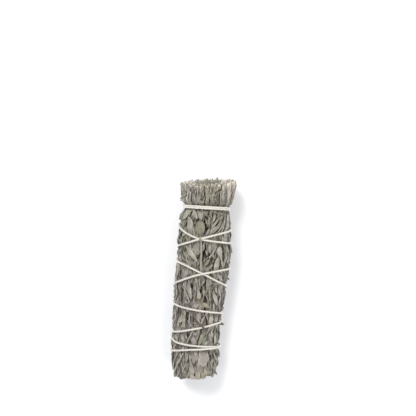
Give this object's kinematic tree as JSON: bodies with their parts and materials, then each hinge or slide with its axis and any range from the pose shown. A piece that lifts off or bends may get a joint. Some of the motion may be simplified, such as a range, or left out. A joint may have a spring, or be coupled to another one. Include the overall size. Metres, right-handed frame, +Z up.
{
  "type": "sage smudge stick",
  "caption": "Dried sage sprigs packed lengthways into a short round bundle, bound with white cotton string that winds from a tie near the cut end to the leaf tips and back.",
  "frame": {"origin": "middle of the bundle's length and width, on the surface that it lies on", "axes": "+X along the bundle from the cut end to the leaf tips, +Z up from the surface"},
  "size_m": [0.1019, 0.0281, 0.028],
  "materials": {
    "sage_leaf": "matt, downy grey-green dried leaf",
    "cotton_string": "matt twisted cotton, off-white"
  },
  "bodies": {
    "root": {"outer_sprig_01": "sage_leaf", "outer_sprig_02": "sage_leaf", "outer_sprig_03": "sage_leaf", "outer_sprig_04": "sage_leaf", "outer_sprig_05": "sage_leaf", "outer_sprig_06": "sage_leaf", "outer_sprig_07": "sage_leaf", "outer_sprig_08": "sage_leaf", "outer_sprig_09": "sage_leaf", "outer_sprig_10": "sage_leaf", "outer_sprig_11": "sage_leaf", "outer_sprig_12": "sage_leaf", "outer_sprig_13": "sage_leaf", "outer_sprig_14": "sage_leaf", "middle_sprig": "sage_leaf", "inner_sprig_01": "sage_leaf", "inner_sprig_02": "sage_leaf", "inner_sprig_03": "sage_leaf", "inner_sprig_04": "sage_leaf", "inner_sprig_05": "sage_leaf", "inner_sprig_06": "sage_leaf", "binding_string": "cotton_string"}
  },
  "joints": []
}
